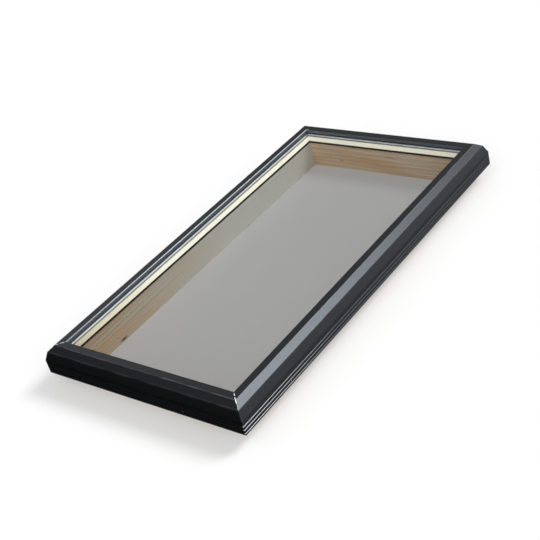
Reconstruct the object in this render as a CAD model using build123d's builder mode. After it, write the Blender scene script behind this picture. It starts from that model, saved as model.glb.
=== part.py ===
# Fixed curb mount skylight: a sealed double glass unit bedded on a pine inner frame and held
# down by four mitred aluminium cladding bars, whose skirts hang outside a timber roof curb.
# Millimetres, +Z up, origin at the middle of the underside of the pine frame.
import os

from build123d import *

os.makedirs("parts", exist_ok=True)

# Daylight opening between the lips of the cladding
opening_width = 600.0
opening_length = 1200.0

# Cladding section, outward from the lip edge and down from the flat top
top_width = 23.8
upper_bevel_run = 17.9
upper_bevel_drop = 14.0
lower_bevel_run = 10.3
lower_bevel_drop = 25.6
skirt_drop = 43.7
cladding_wall = 2.4
edge_round = 1.2
lip_chamfer = 1.8
lip_drop = 10.0

# Grooves along the outside of the skirt, the lowest one measured from the skirt's bottom edge
groove_count = 3
groove_rise = 5.9
groove_pitch = 11.0
groove_depth = 1.4

# Sealed glass unit and its bedding
gasket_height = 5.0
gasket_setback = 0.6
glass_edge_gap = 4.4
upper_glass = 4.0
glass_gap = 18.0
lower_glass = 4.0
spacer_width = 7.0
butyl_height = 0.6
tape_height = 3.5
tape_width = 10.0

# Pine inner frame, and the slot between it and the skirt that takes the curb
pine_thickness = 16.0
pine_height = 86.5
curb_thickness = 38.0
curb_clearance = 2.5

# Ledge over the curb and the foam strip under it
web_height = 8.0
seal_width = 30.0
seal_height = 6.0

# Fixing holes through the skirt, on the flat land between the two lower grooves
screw_hole = 5.0
screw_pitch = 300.0

# Levels from the underside of the pine frame upwards
pine_top = pine_height
lower_pane_bottom = pine_top + tape_height
lower_pane_top = lower_pane_bottom + lower_glass
upper_pane_bottom = lower_pane_top + glass_gap
glass_top = upper_pane_bottom + upper_glass
lip_bottom = glass_top + gasket_height
cladding_top = lip_bottom + lip_drop
bevel_break = cladding_top - upper_bevel_drop
skirt_top = bevel_break - lower_bevel_drop
skirt_bottom = skirt_top - skirt_drop
web_bottom = pine_top - web_height
seal_bottom = web_bottom - seal_height
screw_level = skirt_bottom + groove_rise + groove_pitch / 2

# Distances outward from the lip edge; the glass ends flush with the outside of the pine frame,
# and the gasket and the lip's foot above it stop a little short of the glass's edge
bevel_edge = top_width + upper_bevel_run
skirt_outside = bevel_edge + lower_bevel_run
skirt_inside = skirt_outside - cladding_wall
curb_outside = skirt_inside - curb_clearance
pine_outside = curb_outside - curb_thickness - curb_clearance
pine_inside = pine_outside - pine_thickness
glass_edge = pine_outside
gasket_width = glass_edge - gasket_setback
inner_leg_inside = glass_edge + glass_edge_gap
spacer_outside = pine_inside + spacer_width
seal_inside = curb_outside - (curb_thickness + seal_width) / 2

# Each side: its outward direction, the direction along it, the lip edge's distance from the
# middle, half the length of the lip edge and the number of fixing holes
sides = {
    "front": (Vector(0, -1, 0), Vector(1, 0, 0), opening_length / 2, opening_width / 2, 2),
    "rear": (Vector(0, 1, 0), Vector(1, 0, 0), opening_length / 2, opening_width / 2, 2),
    "left": (Vector(-1, 0, 0), Vector(0, 1, 0), opening_width / 2, opening_length / 2, 4),
    "right": (Vector(1, 0, 0), Vector(0, 1, 0), opening_width / 2, opening_length / 2, 4),
}


def section_plane(side):
    """Plane across the middle of a side: x outward from the lip edge, y up from the base."""
    outward, along, lip_distance, half_lip, holes = sides[side]
    return Plane(origin=outward * lip_distance, x_dir=outward, z_dir=outward.cross(Vector(0, 0, 1)))


def skirt_plane(side):
    """Plane on the outside of a side's skirt at the fixing holes, x along the side."""
    outward, along, lip_distance, half_lip, holes = sides[side]
    middle = outward * (lip_distance + skirt_outside) + Vector(0, 0, screw_level)
    return Plane(origin=middle, x_dir=along, z_dir=outward)


def bar_length(side):
    """Half the length of a side over the outside of the skirts."""
    return sides[side][3] + skirt_outside


def mitre_planes(side):
    """The two upright 45 degree planes through the lip's corners, facing the side's own bar."""
    outward, along, lip_distance, half_lip, holes = sides[side]
    planes = []
    for end in (along, along * -1):
        corner = outward * lip_distance + end * half_lip
        planes.append(Plane(origin=corner, z_dir=outward - end))
    return planes


def rectangle(inside, outside, bottom, top):
    """Rectangle of a section between two distances from the lip edge and two levels."""
    with Locations(((inside + outside) / 2, (bottom + top) / 2)):
        Rectangle(outside - inside, top - bottom)


def mitred_strip(side, inside, outside, *levels):
    """Strip of rectangular section along one side, mitred at its ends, for each (bottom, top)."""
    with BuildPart() as strip:
        with BuildSketch(section_plane(side)):
            for bottom, top in levels:
                rectangle(inside, outside, bottom, top)
        extrude(amount=bar_length(side), both=True)
        for mitre in mitre_planes(side):
            split(bisect_by=mitre, keep=Keep.TOP)
    return strip.part


def cladding_bar(side):
    """One cladding extrusion: outer skin, lip with its foot, inner leg, grooves and holes."""
    corners = (
        (0, cladding_top),
        (top_width, cladding_top),
        (bevel_edge, bevel_break),
        (skirt_outside, skirt_top),
    )
    with BuildPart() as bar:
        with BuildSketch(section_plane(side)) as section:
            with BuildLine():
                Polyline(*corners, (skirt_outside, skirt_bottom))
                offset(amount=cladding_wall, side=Side.RIGHT)
            make_face()
            rectangle(0, cladding_wall, lip_bottom, cladding_top)
            rectangle(0, gasket_width, lip_bottom, lip_bottom + cladding_wall)
            leg_outside = inner_leg_inside + cladding_wall
            rectangle(inner_leg_inside, leg_outside, pine_top, cladding_top - cladding_wall)
            lip_edge, *folds = [section.vertices().sort_by_distance(corner)[0] for corner in corners]
            chamfer(lip_edge, length=lip_chamfer)
            fillet(folds, radius=edge_round)
            for number in range(groove_count):
                level = skirt_bottom + groove_rise + number * groove_pitch
                with BuildLine(mode=Mode.PRIVATE) as groove:
                    Polyline(
                        (skirt_outside, level - groove_depth / 2),
                        (skirt_outside - groove_depth, level + groove_depth / 2),
                        (skirt_outside, level + groove_depth / 2),
                        close=True,
                    )
                make_face(groove.edges(), mode=Mode.SUBTRACT)
        extrude(amount=bar_length(side), both=True)
        for mitre in mitre_planes(side):
            split(bisect_by=mitre, keep=Keep.TOP)
        with BuildSketch(skirt_plane(side)):
            with GridLocations(screw_pitch, 0, sides[side][4], 1):
                Circle(screw_hole / 2)
        extrude(amount=-cladding_wall, mode=Mode.SUBTRACT)
    return bar.part


def write(piece, name):
    """Label a finished piece and write it to its own file."""
    piece.label = name
    export_step(piece, f"parts/{name}.step")


def pane(name, bottom, thickness):
    """One sheet of glass over the whole unit."""
    with BuildPart(Plane.XY.offset(bottom)) as sheet:
        Box(
            opening_width + 2 * glass_edge,
            opening_length + 2 * glass_edge,
            thickness,
            align=(Align.CENTER, Align.CENTER, Align.MIN),
        )
    write(sheet.part, name)


def pine_board(side):
    """Pine board on edge: the side boards run full length and the end boards stand between them."""
    half_lip = sides[side][3]
    board_end = pine_outside if side in ("left", "right") else pine_inside
    with BuildPart() as board:
        with BuildSketch(section_plane(side)):
            rectangle(pine_inside, pine_outside, 0, pine_top)
        extrude(amount=half_lip + board_end, both=True)
    return board.part


for side in sides:
    write(cladding_bar(side), f"cladding_{side}")
    write(mitred_strip(side, 0, gasket_width, (glass_top, lip_bottom)), f"glazing_gasket_{side}")
    bar_levels = (lower_pane_top + butyl_height, upper_pane_bottom - butyl_height)
    write(mitred_strip(side, pine_inside, spacer_outside, bar_levels), f"spacer_{side}")
    lower_butyl = (lower_pane_top, bar_levels[0])
    upper_butyl = (bar_levels[1], upper_pane_bottom)
    butyl = mitred_strip(side, pine_inside, spacer_outside, lower_butyl, upper_butyl)
    write(butyl, f"butyl_seal_{side}")
    cavity = (lower_pane_top, upper_pane_bottom)
    write(mitred_strip(side, spacer_outside, glass_edge, cavity), f"edge_sealant_{side}")
    tape_outside = pine_inside + tape_width
    tape = mitred_strip(side, pine_inside, tape_outside, (pine_top, lower_pane_bottom))
    write(tape, f"glazing_tape_{side}")
    write(pine_board(side), f"pine_board_{side}")
    web = mitred_strip(side, pine_outside, skirt_inside, (web_bottom, pine_top))
    write(web, f"mounting_web_{side}")
    seal_outside = seal_inside + seal_width
    seal = mitred_strip(side, seal_inside, seal_outside, (seal_bottom, web_bottom))
    write(seal, f"curb_seal_{side}")

pane("lower_pane", lower_pane_bottom, lower_glass)
pane("upper_pane", upper_pane_bottom, upper_glass)
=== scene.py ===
import math

import bmesh
import bpy
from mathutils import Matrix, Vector


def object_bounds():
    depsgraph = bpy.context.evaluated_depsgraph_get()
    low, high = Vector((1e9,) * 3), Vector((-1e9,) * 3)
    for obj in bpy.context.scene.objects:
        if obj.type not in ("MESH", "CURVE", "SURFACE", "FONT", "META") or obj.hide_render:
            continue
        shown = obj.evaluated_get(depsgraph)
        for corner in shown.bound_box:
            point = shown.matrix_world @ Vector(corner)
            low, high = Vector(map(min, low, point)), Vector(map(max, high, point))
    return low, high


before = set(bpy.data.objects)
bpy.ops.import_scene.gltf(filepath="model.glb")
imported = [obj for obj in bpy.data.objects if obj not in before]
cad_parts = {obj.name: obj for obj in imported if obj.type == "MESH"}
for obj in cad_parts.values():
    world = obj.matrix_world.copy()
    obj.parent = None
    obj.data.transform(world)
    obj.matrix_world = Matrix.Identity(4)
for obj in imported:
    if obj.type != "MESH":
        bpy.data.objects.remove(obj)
cad_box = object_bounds()

# Pine inner frame: four planed boards on edge, butt jointed, that line the curb and carry the
# glass. Flat-sawn pine under a clear matte varnish: pale sapwood, darker latewood lines along
# each board, and warm blotches where the varnish soaked in.
sides = ("front", "rear", "left", "right")


def colour(code):
    """Linear colour of an sRGB hex code."""
    parts = [int(code[at:at + 2], 16) / 255 for at in (1, 3, 5)]
    return [part / 12.92 if part <= 0.04045 else ((part + 0.055) / 1.055) ** 2.4 for part in parts] + [1]


def add(tree, kind, inputs=None, **settings):
    """Adds a node, sets its properties, and gives its inputs a value or a link."""
    node = tree.nodes.new(kind)
    for name, value in settings.items():
        setattr(node, name, value)
    for name, value in (inputs or {}).items():
        if isinstance(value, bpy.types.NodeSocket):
            tree.links.new(value, node.inputs[name])
        else:
            node.inputs[name].default_value = value
    return node


def new_finish(name):
    """An empty material and its node tree."""
    finish = bpy.data.materials.new(name)
    finish.use_nodes = True
    finish.node_tree.nodes.clear()
    return finish, finish.node_tree


def dress(node, finish):
    """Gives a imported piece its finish."""
    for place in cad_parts[node].material_slots:
        place.material = finish


def pine(name, turn, early_wood, late_wood, reflection_share, knots):
    """Varnished pine with its grain along X, turned about Z; the left inner face turns pale grey towards the
    rear, a painted reflection of the glass.
    """
    ring_spacing = 0.014
    ring_stretch = 20
    fibre_width = 0.004
    fibre_length = 0.25
    blotch_width = 0.06
    blotch_length = 0.25
    left_inner_face = -0.2906
    face_slack = 0.0005
    reflection_start = -0.42
    reflection_end = 0.1
    finish, tree = new_finish(name)
    place = add(tree, "ShaderNodeTexCoord").outputs["Object"]
    board = add(tree, "ShaderNodeMapping", {"Vector": place, "Rotation": (0, 0, turn)}).outputs["Vector"]
    ring_scale = (1 / ring_stretch, 1, 1)
    ring_place = add(tree, "ShaderNodeMapping", {"Vector": board, "Scale": ring_scale}).outputs["Vector"]
    rings = add(
        tree,
        "ShaderNodeTexWave",
        {
            "Vector": ring_place,
            "Scale": math.pi / 10 / ring_spacing,
            "Distortion": 14,
            "Detail": 2,
            "Detail Scale": 0.4,
        },
        bands_direction="Z",
    ).outputs["Fac"]
    fibre_scale = (1 / fibre_length, 1 / fibre_width, 1 / fibre_width)
    fibre_place = add(tree, "ShaderNodeMapping", {"Vector": board, "Scale": fibre_scale}).outputs["Vector"]
    fibres = add(tree, "ShaderNodeTexNoise", {"Vector": fibre_place, "Scale": 1, "Detail": 3}).outputs["Fac"]
    blotch_scale = (1 / blotch_length, 1 / blotch_width, 1 / blotch_width)
    blotch_place = add(tree, "ShaderNodeMapping", {"Vector": board, "Scale": blotch_scale}).outputs["Vector"]
    blotches = add(
        tree,
        "ShaderNodeTexNoise",
        {"Vector": blotch_place, "Scale": 1, "Detail": 2},
    ).outputs["Fac"]
    ring_tones = {0: rings, 6: colour(early_wood), 7: colour(late_wood)}
    wood = add(tree, "ShaderNodeMix", ring_tones, data_type="RGBA").outputs[2]
    for pattern, low, high, stain in ((blotches, 0.4, 0.75, "#EAC49A"), (fibres, 0.45, 0.8, "#D2AE84")):
        reach = {"Value": pattern, "From Min": low, "From Max": high}
        share = add(tree, "ShaderNodeMapRange", reach).outputs[0]
        wood = add(tree, "ShaderNodeMix", {0: share, 6: wood, 7: colour(stain)}, data_type="RGBA").outputs[2]
    axes = add(tree, "ShaderNodeSeparateXYZ", {0: place}).outputs
    # Painted reflection: the left inner face is mixed towards pale grey towards the rear
    painted_reflection = add(
        tree,
        "ShaderNodeMapRange",
        {"Value": axes["Y"], "From Min": reflection_start, "From Max": reflection_end, "To Max": reflection_share},
    ).outputs[0]
    face_test = {0: axes["X"], 1: left_inner_face, 2: face_slack}
    on_face = add(tree, "ShaderNodeMath", face_test, operation="COMPARE").outputs[0]
    painted_reflection = add(tree, "ShaderNodeMath", {0: painted_reflection, 1: on_face}, operation="MULTIPLY").outputs[0]
    reflection_tones = {0: painted_reflection, 6: wood, 7: colour("#EEF1E8")}
    wood = add(tree, "ShaderNodeMix", reflection_tones, data_type="RGBA").outputs[2]
    for centre, reach, depth in knots:
        offset = add(tree, "ShaderNodeVectorMath", {0: place, 1: centre}, operation="SUBTRACT").outputs[0]
        offset = add(tree, "ShaderNodeVectorMath", {0: offset, 1: reach}, operation="DIVIDE").outputs[0]
        away = add(tree, "ShaderNodeVectorMath", {0: offset}, operation="LENGTH").outputs["Value"]
        knot = add(
            tree,
            "ShaderNodeMapRange",
            {"Value": away, "From Min": 0.4, "From Max": 1.0, "To Min": depth, "To Max": 0.0},
        ).outputs[0]
        knot_tones = {0: knot, 6: wood, 7: colour("#6E4526")}
        wood = add(tree, "ShaderNodeMix", knot_tones, data_type="RGBA").outputs[2]
    bump = add(tree, "ShaderNodeBump", {"Height": fibres, "Strength": 0.15, "Distance": 0.0004})
    gloss = add(tree, "ShaderNodeMapRange", {"Value": rings, "To Min": 0.42, "To Max": 0.58})
    surface = add(
        tree,
        "ShaderNodeBsdfPrincipled",
        {
            "Base Color": wood,
            "Roughness": gloss.outputs[0],
            "Normal": bump.outputs[0],
            "Specular IOR Level": 0.3,
        },
    )
    add(tree, "ShaderNodeOutputMaterial", {"Surface": surface.outputs[0]})
    return finish


# Each knot: its centre, its reach along X, Y and Z, and how dark it is
rear_knots = (
    ((0.026, 0.59, 0.064), (0.03, 0.02, 0.006), 0.3),
    ((-0.17, 0.59, 0.03), (0.012, 0.02, 0.006), 0.35),
)
side_knots = (
    ((-0.29, -0.422, 0.007), (0.02, 0.018, 0.0055), 0.9),
    ((0.29, 0.2, 0.05), (0.02, 0.016, 0.008), 0.6),
    ((-0.29, 0.196, 0.003), (0.02, 0.008, 0.004), 0.4),
)
# The two pine finishes are lit and shaded copies of one wood: the front and rear boards take paler, warmer
# tones to make up for the shade on the rear board, and the side boards darker ones for the light they get.
pine_across = pine("pine_grain_across", 0, "#FFF2DC", "#F4DAB6", 0.0, rear_knots)
pine_lengthwise = pine("pine_grain_lengthwise", math.radians(90), "#E3DCCB", "#D1C2A5", 0.9, side_knots)
for side in sides:
    dress(f"pine_board_{side}", pine_lengthwise if side in ("left", "right") else pine_across)

# Mounting ledge: a black PVC profile screwed to the boards, over the curb. Extruded plastic with
# a faint grain, dull from the die.


def dull_black(name, code, grain, roughness, bump_depth):
    """Black plastic or rubber with a fine grain, paler and duller in specks."""
    paler = 1.9
    gloss_range = 0.08
    finish, tree = new_finish(name)
    place = add(tree, "ShaderNodeTexCoord").outputs["Object"]
    specks = add(
        tree,
        "ShaderNodeTexNoise",
        {"Vector": place, "Scale": 1 / grain, "Detail": 4},
    ).outputs["Fac"]
    dark = colour(code)
    pale = [value * paler for value in dark[:3]] + [1]
    tone = add(tree, "ShaderNodeMix", {0: specks, 6: dark, 7: pale}, data_type="RGBA").outputs[2]
    bump = add(tree, "ShaderNodeBump", {"Height": specks, "Strength": 0.3, "Distance": bump_depth})
    gloss = add(
        tree,
        "ShaderNodeMapRange",
        {"Value": specks, "To Min": roughness - gloss_range, "To Max": roughness + gloss_range},
    )
    surface = add(
        tree,
        "ShaderNodeBsdfPrincipled",
        {
            "Base Color": tone,
            "Roughness": gloss.outputs[0],
            "Normal": bump.outputs[0],
            "Specular IOR Level": 0.25,
        },
    )
    add(tree, "ShaderNodeOutputMaterial", {"Surface": surface.outputs[0]})
    return finish


ledge_pvc = dull_black("extruded_black_pvc", "#151516", 0.004, 0.55, 0.0002)
for side in sides:
    dress(f"mounting_web_{side}", ledge_pvc)

# Curb seal: grey closed-cell foam strip stuck under the ledge, which is pressed on the curb.
# Its cut cells leave a fine pitted skin.
cell_size = 0.0022
seal_foam, tree = new_finish("grey_closed_cell_foam")
place = add(tree, "ShaderNodeTexCoord").outputs["Object"]
cells = add(tree, "ShaderNodeTexVoronoi", {"Vector": place, "Scale": 1 / cell_size}).outputs["Distance"]
foam_tones = {0: cells, 6: colour("#4A4B4D"), 7: colour("#77797B")}
tone = add(tree, "ShaderNodeMix", foam_tones, data_type="RGBA").outputs[2]
bump = add(tree, "ShaderNodeBump", {"Height": cells, "Strength": 0.6, "Distance": 0.0005})
surface = add(
    tree,
    "ShaderNodeBsdfPrincipled",
    {"Base Color": tone, "Roughness": 0.9, "Normal": bump.outputs[0], "Specular IOR Level": 0.2},
)
add(tree, "ShaderNodeOutputMaterial", {"Surface": surface.outputs[0]})
for side in sides:
    dress(f"curb_seal_{side}", seal_foam)

# Glazing tape and butyl: black bedding tape between wood and glass, and the thin grey butyl
# lines that stick the spacer to both panes. Soft, dull and slightly grainy.
bedding_rubber = dull_black("black_glazing_tape", "#0E0D0B", 0.003, 0.7, 0.0002)
butyl = dull_black("grey_butyl", "#61676A", 0.003, 0.65, 0.0001)
for side in sides:
    dress(f"glazing_tape_{side}", bedding_rubber)
    dress(f"butyl_seal_{side}", butyl)

# Glass unit: a clear pane over a grey laminated one, with ground edges. Flat float glass mirrors
# its surroundings more at a low angle, and a thin film of dust dulls it in patches.


def sheet_glass(name, code, shine_share, dust_share):
    """Flat tinted glass: the code is what one face lets through; only outer faces mirror."""
    dust_patch = 0.09
    head_on = 0.04
    finish, tree = new_finish(name)
    place = add(tree, "ShaderNodeTexCoord").outputs["Object"]
    patches = add(
        tree,
        "ShaderNodeTexNoise",
        {"Vector": place, "Scale": 1 / dust_patch, "Detail": 6},
    ).outputs["Fac"]
    film = add(
        tree,
        "ShaderNodeMapRange",
        {"Value": patches, "From Min": 0.3, "From Max": 0.8, "To Max": dust_share},
    )
    clear = add(tree, "ShaderNodeBsdfTransparent", {"Color": colour(code)})
    facing = add(tree, "ShaderNodeLayerWeight", {"Blend": 0.5}).outputs["Facing"]
    grazing = add(tree, "ShaderNodeMath", {0: facing, 1: 5.0}, operation="POWER").outputs[0]
    mirror = add(
        tree,
        "ShaderNodeMapRange",
        {"Value": grazing, "To Min": head_on * shine_share, "To Max": shine_share},
    ).outputs[0]
    inside = add(tree, "ShaderNodeNewGeometry").outputs["Backfacing"]
    outside = add(tree, "ShaderNodeMath", {0: 1.0, 1: inside}, operation="SUBTRACT").outputs[0]
    mirror = add(tree, "ShaderNodeMath", {0: mirror, 1: outside}, operation="MULTIPLY").outputs[0]
    shine = add(tree, "ShaderNodeBsdfGlossy", {"Roughness": 0.02})
    glass = add(tree, "ShaderNodeMixShader", {0: mirror, 1: clear.outputs[0], 2: shine.outputs[0]})
    dust = add(tree, "ShaderNodeBsdfDiffuse", {"Color": colour("#B9B6AE")})
    surface = add(tree, "ShaderNodeMixShader", {0: film.outputs[0], 1: glass.outputs[0], 2: dust.outputs[0]})
    add(tree, "ShaderNodeOutputMaterial", {"Surface": surface.outputs[0]})
    return finish


dress("lower_pane", sheet_glass("grey_laminated_glass", "#E2E2E2", 0.15, 0.004))
dress("upper_pane", sheet_glass("clear_float_glass", "#FDFDFD", 0.5, 0.008))

# Spacer: cream warm-edge bars between the panes, folded from thin coated strip, with fine
# breathing holes towards the dry gap. The coat is darker and yellower towards the front.
hole_pitch = 0.004
front_tint_start = -0.6
front_tint_end = -0.2
spacer_coat, tree = new_finish("cream_spacer_coat")
place = add(tree, "ShaderNodeTexCoord").outputs["Object"]
dots = add(tree, "ShaderNodeTexVoronoi", {"Vector": place, "Scale": 1 / hole_pitch, "Randomness": 0.0})
around_holes = add(
    tree,
    "ShaderNodeMapRange",
    {"Value": dots.outputs["Distance"], "From Min": 0.1, "From Max": 0.2},
).outputs[0]
axes = add(tree, "ShaderNodeSeparateXYZ", {0: place}).outputs
front_tint = add(
    tree,
    "ShaderNodeMapRange",
    {"Value": axes["Y"], "From Min": front_tint_start, "From Max": front_tint_end, "To Min": 1.0, "To Max": 0.0},
).outputs[0]
coat_tones = {0: front_tint, 6: colour("#FFFCE8"), 7: colour("#CFC8A5")}
tone = add(tree, "ShaderNodeMix", coat_tones, data_type="RGBA").outputs[2]
hole_tones = {0: around_holes, 6: colour("#D2CAA8"), 7: tone}
tone = add(tree, "ShaderNodeMix", hole_tones, data_type="RGBA").outputs[2]
surface = add(
    tree,
    "ShaderNodeBsdfPrincipled",
    {"Base Color": tone, "Roughness": 0.5, "Specular IOR Level": 0.3},
)
add(tree, "ShaderNodeOutputMaterial", {"Surface": surface.outputs[0]})
for side in sides:
    dress(f"spacer_{side}", spacer_coat)

# Edge sealant: pale grey silicone filled in behind the spacer, tooled by hand, so its tone
# varies a little along the edge.
bead_wave = 0.03
edge_silicone, tree = new_finish("pale_grey_silicone")
place = add(tree, "ShaderNodeTexCoord").outputs["Object"]
waves = add(tree, "ShaderNodeTexNoise", {"Vector": place, "Scale": 1 / bead_wave, "Detail": 3}).outputs["Fac"]
bead_tones = {0: waves, 6: colour("#E2E8E8"), 7: colour("#F4F7F6")}
tone = add(tree, "ShaderNodeMix", bead_tones, data_type="RGBA").outputs[2]
surface = add(
    tree,
    "ShaderNodeBsdfPrincipled",
    {"Base Color": tone, "Roughness": 0.6, "Specular IOR Level": 0.3},
)
add(tree, "ShaderNodeOutputMaterial", {"Surface": surface.outputs[0]})
for side in sides:
    dress(f"edge_sealant_{side}", edge_silicone)

# Glazing gasket: black EPDM strip pressed between the lip and the glass. Extruded rubber, dull
# and greyed by a fine bloom.
gasket_rubber = dull_black("black_epdm", "#292B2D", 0.0035, 0.6, 0.0002)
for side in sides:
    dress(f"glazing_gasket_{side}", gasket_rubber)

# Cladding: four aluminium extrusions, mitred at the corners and powder coated satin black. The
# coat is thin along the folds and the saw chipped bare metal at the mitres; both are painted
# lighter partly as highlight, and the lip and grooves carry painted sheen and highlights.
half_width = 0.3
half_length = 0.6
peel_size = 0.005
wear_patch = 0.05
lip_face_depth = 0.0003
lip_face_end = 0.0008
fold_half_width = 0.0009
folds = ((0.0238, 0.8), (0.0417, 0.25))
lowest_groove = 0.0536
groove_pitch = 0.011
groove_half_width = 0.0007
grooves_top = 0.08
skirt_face = 0.349
groove_highlight_start = -0.66
groove_highlight_end = -0.25
chamfer_middle = 0.0011
chamfer_half_width = 0.0008
chamfer_bottom = 0.1288
left_bar_end = -0.29
glint_front = -0.6
glint_full = -0.1
seam_half_width = 0.0011
chip_length = 0.006
chips_bottom = 0.117
cladding_paint, tree = new_finish("satin_black_powder_coat")
place = add(tree, "ShaderNodeTexCoord").outputs["Object"]
axes = add(tree, "ShaderNodeSeparateXYZ", {0: place}).outputs
peel = add(tree, "ShaderNodeTexNoise", {"Vector": place, "Scale": 1 / peel_size, "Detail": 2}).outputs["Fac"]
coat_tones = {0: peel, 6: colour("#08080A"), 7: colour("#0E0F11")}
tone = add(tree, "ShaderNodeMix", coat_tones, data_type="RGBA").outputs[2]

# Distance outward from the lip edge, a painted sheen that greys the inner face of the lip, and the lighter
# fold lines
across = add(tree, "ShaderNodeMath", {0: axes["X"]}, operation="ABSOLUTE").outputs[0]
across = add(tree, "ShaderNodeMath", {0: across, 1: half_width}, operation="SUBTRACT").outputs[0]
along = add(tree, "ShaderNodeMath", {0: axes["Y"]}, operation="ABSOLUTE").outputs[0]
along = add(tree, "ShaderNodeMath", {0: along, 1: half_length}, operation="SUBTRACT").outputs[0]
outward = add(tree, "ShaderNodeMath", {0: across, 1: along}, operation="MAXIMUM").outputs[0]
# Painted sheen: the inner face of the lip is mixed towards bluish grey
lip_face_sheen = add(
    tree,
    "ShaderNodeMapRange",
    {"Value": outward, "From Min": lip_face_depth, "From Max": lip_face_end, "To Min": 1.0, "To Max": 0.0},
).outputs[0]
tone = add(tree, "ShaderNodeMix", {0: lip_face_sheen, 6: tone, 7: colour("#4A5055")}, data_type="RGBA").outputs[2]
# Lighter lines along the folds: partly coat worn thin, partly painted highlight
fold_wear_and_highlight = add(tree, "ShaderNodeTexNoise", {"Vector": place, "Scale": 1 / wear_patch, "Detail": 4}).outputs["Fac"]
fold_wear_and_highlight = add(
    tree,
    "ShaderNodeMapRange",
    {"Value": fold_wear_and_highlight, "From Min": 0.3, "From Max": 0.7, "To Max": 0.5},
).outputs[0]
for fold, rubbed_and_lit in folds:
    beside = add(tree, "ShaderNodeMath", {0: outward, 1: fold}, operation="SUBTRACT").outputs[0]
    beside = add(tree, "ShaderNodeMath", {0: beside}, operation="ABSOLUTE").outputs[0]
    line = add(
        tree,
        "ShaderNodeMapRange",
        {
            "Value": beside,
            "From Min": fold_half_width,
            "From Max": fold_half_width * 2,
            "To Min": rubbed_and_lit,
            "To Max": 0.0,
        },
    ).outputs[0]
    line = add(tree, "ShaderNodeMath", {0: line, 1: fold_wear_and_highlight}, operation="MULTIPLY").outputs[0]
    tone = add(tree, "ShaderNodeMix", {0: line, 6: tone, 7: colour("#6B6F75")}, data_type="RGBA").outputs[2]

# Painted highlights along the right skirt's groove edges, brightest towards the front corner
above = add(tree, "ShaderNodeMath", {0: axes["Z"], 1: lowest_groove}, operation="SUBTRACT").outputs[0]
beside = add(tree, "ShaderNodeMath", {0: above, 1: groove_pitch / 2}, operation="PINGPONG").outputs[0]
line = add(
    tree,
    "ShaderNodeMapRange",
    {
        "Value": beside,
        "From Min": groove_half_width,
        "From Max": groove_half_width * 2,
        "To Min": 1.0,
        "To Max": 0.0,
    },
).outputs[0]
lit_near_corner = add(
    tree,
    "ShaderNodeMapRange",
    {"Value": axes["Y"], "From Min": groove_highlight_start, "From Max": groove_highlight_end, "To Min": 0.85, "To Max": 0.04},
).outputs[0]
right_skirt = add(tree, "ShaderNodeMath", {0: axes["X"], 1: skirt_face}, operation="GREATER_THAN").outputs[0]
low = add(tree, "ShaderNodeMath", {0: axes["Z"], 1: grooves_top}, operation="LESS_THAN").outputs[0]
for share in (lit_near_corner, right_skirt, low):
    line = add(tree, "ShaderNodeMath", {0: line, 1: share}, operation="MULTIPLY").outputs[0]
tone = add(tree, "ShaderNodeMix", {0: line, 6: tone, 7: colour("#C4C8CC")}, data_type="RGBA").outputs[2]

# Painted highlight on the left bar's lip chamfer, fading towards the front
chamfer_test = {0: outward, 1: chamfer_middle, 2: chamfer_half_width}
glint = add(tree, "ShaderNodeMath", chamfer_test, operation="COMPARE").outputs[0]
top = add(tree, "ShaderNodeMath", {0: axes["Z"], 1: chamfer_bottom}, operation="GREATER_THAN").outputs[0]
left_bar = add(tree, "ShaderNodeMath", {0: axes["X"], 1: left_bar_end}, operation="LESS_THAN").outputs[0]
fading = add(
    tree,
    "ShaderNodeMapRange",
    {"Value": axes["Y"], "From Min": glint_front, "From Max": glint_full, "To Min": 0.15, "To Max": 0.8},
).outputs[0]
for share in (top, left_bar, fading):
    glint = add(tree, "ShaderNodeMath", {0: glint, 1: share}, operation="MULTIPLY").outputs[0]
tone = add(tree, "ShaderNodeMix", {0: glint, 6: tone, 7: colour("#9DA2A8")}, data_type="RGBA").outputs[2]

# Mitre seams, sunk a little, with chips of bare metal on the upper faces of the front half, their brightness
# partly bare metal and partly painted highlight
apart = add(tree, "ShaderNodeMath", {0: across, 1: along}, operation="SUBTRACT").outputs[0]
apart = add(tree, "ShaderNodeMath", {0: apart}, operation="ABSOLUTE").outputs[0]
seam = add(
    tree,
    "ShaderNodeMapRange",
    {
        "Value": apart,
        "From Min": seam_half_width,
        "From Max": seam_half_width * 2,
        "To Min": 1.0,
        "To Max": 0.0,
    },
).outputs[0]
chips = add(
    tree,
    "ShaderNodeTexNoise",
    {"Vector": place, "Scale": 1 / chip_length, "Detail": 2},
).outputs["Fac"]
bare_chips_and_glints = add(tree, "ShaderNodeMapRange", {"Value": chips, "From Min": 0.46, "From Max": 0.56}).outputs[0]
upper = add(tree, "ShaderNodeMath", {0: axes["Z"], 1: chips_bottom}, operation="GREATER_THAN").outputs[0]
front_half = add(tree, "ShaderNodeMath", {0: axes["Y"], 1: 0.0}, operation="LESS_THAN").outputs[0]
for share in (seam, upper, front_half):
    bare_chips_and_glints = add(tree, "ShaderNodeMath", {0: bare_chips_and_glints, 1: share}, operation="MULTIPLY").outputs[0]
tone = add(tree, "ShaderNodeMix", {0: bare_chips_and_glints, 6: tone, 7: colour("#D9DCE0")}, data_type="RGBA").outputs[2]
height = add(tree, "ShaderNodeMath", {0: seam, 1: -3.0, 2: peel}, operation="MULTIPLY_ADD").outputs[0]
bump = add(tree, "ShaderNodeBump", {"Height": height, "Strength": 0.12, "Distance": 0.0002})
gloss = add(tree, "ShaderNodeMapRange", {"Value": peel, "To Min": 0.2, "To Max": 0.28})
surface = add(
    tree,
    "ShaderNodeBsdfPrincipled",
    {
        "Base Color": tone,
        "Roughness": gloss.outputs[0],
        "Normal": bump.outputs[0],
        "Specular IOR Level": 1.0,
        "Specular Tint": colour("#E4EEF8"),
    },
)
add(tree, "ShaderNodeOutputMaterial", {"Surface": surface.outputs[0]})
for side in sides:
    dress(f"cladding_{side}", cladding_paint)
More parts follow.
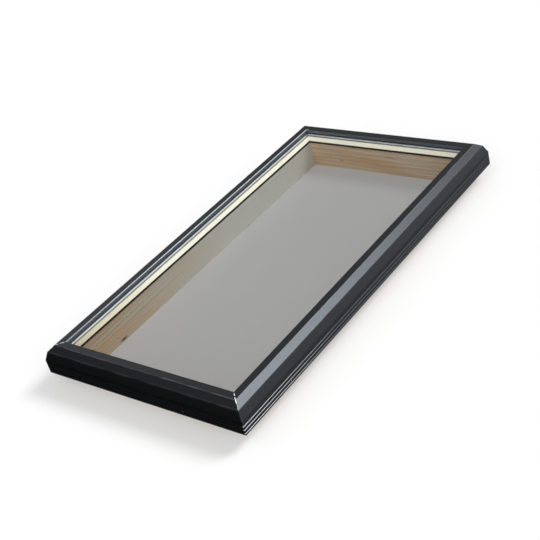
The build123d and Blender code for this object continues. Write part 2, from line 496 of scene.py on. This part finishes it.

# Studio floor: a wide sheet of pale paper under the object that keeps its soft shadow. Mirrored
# in the paint it is greyer, and darkest in front: painted shade in the reflection, as if black cloth lay
# there.
floor_half = 15.0
own_light = 0.25
reflection_shade_edge = -0.68
reflection_shade_end = -0.6
scene = bpy.context.scene
floor_mesh = bpy.data.meshes.new("floor")
outline = bmesh.new()
bmesh.ops.create_grid(outline, x_segments=1, y_segments=1, size=floor_half)
outline.to_mesh(floor_mesh)
outline.free()
floor = bpy.data.objects.new("floor", floor_mesh)
scene.collection.objects.link(floor)
floor_paper, tree = new_finish("white_studio_paper")
rays = add(tree, "ShaderNodeLightPath").outputs
to_lens = {0: rays["Is Camera Ray"], 1: rays["Is Transmission Ray"]}
lens = add(tree, "ShaderNodeMath", to_lens, operation="MAXIMUM").outputs[0]
share = add(tree, "ShaderNodeMath", {0: lens, 1: own_light}, operation="MULTIPLY").outputs[0]
place = add(tree, "ShaderNodeTexCoord").outputs["Object"]
axes = add(tree, "ShaderNodeSeparateXYZ", {0: place}).outputs
# Painted shade: as the paint mirrors it, the floor turns nearly black in front
front_reflection_shade = add(
    tree,
    "ShaderNodeMapRange",
    {"Value": axes["Y"], "From Min": reflection_shade_edge, "From Max": reflection_shade_end, "To Min": 1.0, "To Max": 0.0},
).outputs[0]
front_reflection_shade = add(tree, "ShaderNodeMath", {0: front_reflection_shade, 1: rays["Is Glossy Ray"]}, operation="MULTIPLY").outputs[0]
paper_tones = {0: rays["Is Glossy Ray"], 6: colour("#DCDCDC"), 7: colour("#757575")}
tone = add(tree, "ShaderNodeMix", paper_tones, data_type="RGBA").outputs[2]
tone = add(tree, "ShaderNodeMix", {0: front_reflection_shade, 6: tone, 7: colour("#0E0E0E")}, data_type="RGBA").outputs[2]
paper = add(tree, "ShaderNodeBsdfDiffuse", {"Color": tone})
white = add(tree, "ShaderNodeEmission", {"Strength": 1.0})
surface = add(tree, "ShaderNodeMixShader", {0: share, 1: paper.outputs[0], 2: white.outputs[0]})
add(tree, "ShaderNodeOutputMaterial", {"Surface": surface.outputs[0]})
floor.data.materials.append(floor_paper)

# Studio light: a white surround to the lens and an even light on the object. The paint mirrors
# a room that is brighter on the right, with a softbox at the right rear and two low glows.
room_light = 0.53
room_slope = (0.34, 0.03, 0.1)
key_side = Vector((0.5, 0.48, 0.72)).normalized()
scene.view_settings.view_transform = "Standard"
world = bpy.data.worlds.new("studio")
scene.world = world
world.use_nodes = True
tree = world.node_tree
tree.nodes.clear()
rays = add(tree, "ShaderNodeLightPath").outputs
to_lens = {0: rays["Is Camera Ray"], 1: rays["Is Transmission Ray"]}
lens = add(tree, "ShaderNodeMath", to_lens, operation="MAXIMUM").outputs[0]
way = add(tree, "ShaderNodeTexCoord").outputs["Generated"]
slope = add(tree, "ShaderNodeVectorMath", {0: way, 1: room_slope}, operation="DOT_PRODUCT").outputs["Value"]
mirrored = add(
    tree,
    "ShaderNodeMapRange",
    {"Value": slope, "From Min": -0.35, "From Max": 0.27, "To Max": 0.62},
).outputs[0]
# Each glow: its direction, the angles at which it begins and is full, and its strength
glows = (
    (key_side, 18.5, 5, 4.9),
    ((0.8, 0.6, 0.05), 40, 8, 0.5),
    ((-0.9, 0.3, 0.32), 29, 16, 0.3),
)
for direction, begins, full, strength in glows:
    near = add(tree, "ShaderNodeVectorMath", {0: way, 1: direction}, operation="DOT_PRODUCT").outputs["Value"]
    glow = add(
        tree,
        "ShaderNodeMapRange",
        {
            "Value": near,
            "From Min": math.cos(math.radians(begins)),
            "From Max": math.cos(math.radians(full)),
            "To Max": strength,
        },
    ).outputs[0]
    mirrored = add(tree, "ShaderNodeMath", {0: mirrored, 1: glow}, operation="ADD").outputs[0]
level = add(tree, "ShaderNodeMix", {0: rays["Is Glossy Ray"], 2: room_light, 3: mirrored}).outputs[0]
level = add(tree, "ShaderNodeMix", {0: lens, 2: level, 3: 1.0}).outputs[0]
backdrop = add(tree, "ShaderNodeBackground", {"Color": colour("#FFFFFF"), "Strength": level})
add(tree, "ShaderNodeOutputWorld", {"Surface": backdrop.outputs[0]})


def soft_lamp(name, direction, spread, strength):
    """A far, soft round lamp from a direction, as wide as its spread in degrees."""
    lamp = bpy.data.lights.new(name, "SUN")
    lamp.angle = math.radians(spread)
    lamp.energy = math.pi * strength
    holder = bpy.data.objects.new(name, lamp)
    holder.visible_glossy = False
    holder.rotation_euler = Vector(direction).to_track_quat("Z", "Y").to_euler()
    scene.collection.objects.link(holder)


soft_lamp("key_lamp", key_side, 22, 0.74)
soft_lamp("front_fill_lamp", (0.25, -0.76, 0.6), 60, 0.54)
soft_lamp("side_fill_lamp", (0.94, -0.1, 0.33), 40, 0.2)

# Camera: the photograph's viewpoint, measured from the middle of the opening on the plane of
# the lip, with the horizon leaning as it does there.
lip_plane = cad_box[1][2]
image_width = 540
focal_pixels = 1114.54
eye = (1.93275, -2.0093, 1.66676)
turn = (56.6128, 13.6483, 35.9147)
camera_data = bpy.data.cameras.new("camera")
camera_data.sensor_width = 36
camera_data.lens = camera_data.sensor_width * focal_pixels / image_width
camera = bpy.data.objects.new("camera", camera_data)
scene.collection.objects.link(camera)
camera.location = (eye[0], eye[1], eye[2] + lip_plane)
camera.rotation_euler = [math.radians(angle) for angle in turn]
scene.camera = camera
